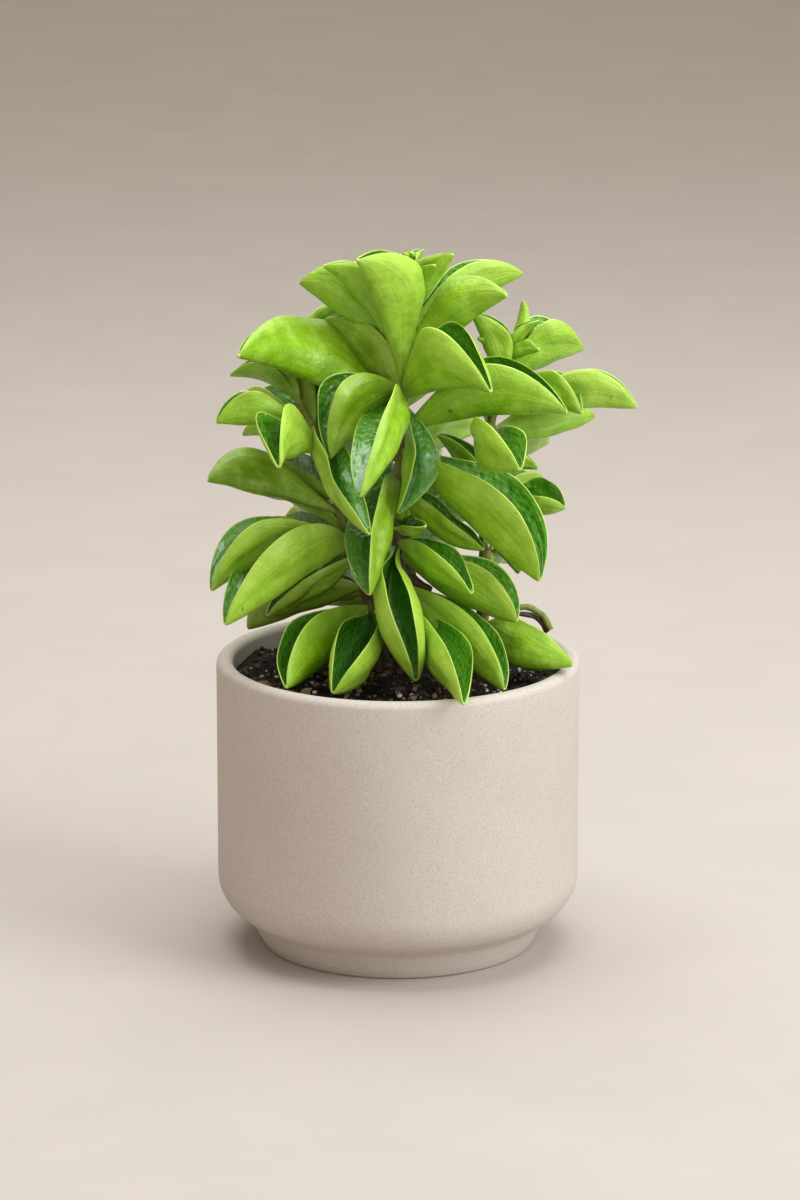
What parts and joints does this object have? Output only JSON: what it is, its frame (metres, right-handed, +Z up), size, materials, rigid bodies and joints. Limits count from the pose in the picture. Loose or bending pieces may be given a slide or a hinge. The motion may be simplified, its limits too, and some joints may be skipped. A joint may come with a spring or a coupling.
{
  "type": "potted peperomia",
  "caption": "Leafy peperomia with folded, boat-shaped lime leaves on upright stems, standing in a soil-filled round stoneware pot with a narrower foot.",
  "frame": {"origin": "centre of the pot's flat base, on the surface it stands on", "axes": "+Z up along the pot's axis, -Y towards the front of the pictured view, +X to its right"},
  "size_m": [0.1404, 0.1463, 0.2356],
  "materials": {
    "stoneware": "matte, finely speckled warm beige stoneware",
    "soil": "dark moist potting soil with pale chips",
    "foliage": "smooth waxy leaves, lime outside and dark glossy green inside, on brown stems"
  },
  "bodies": {
    "root": {"pot": "stoneware", "soil": "soil", "stem_center": "foliage", "stem_left": "foliage", "stem_right": "foliage", "stem_back": "foliage"}
  },
  "joints": []
}
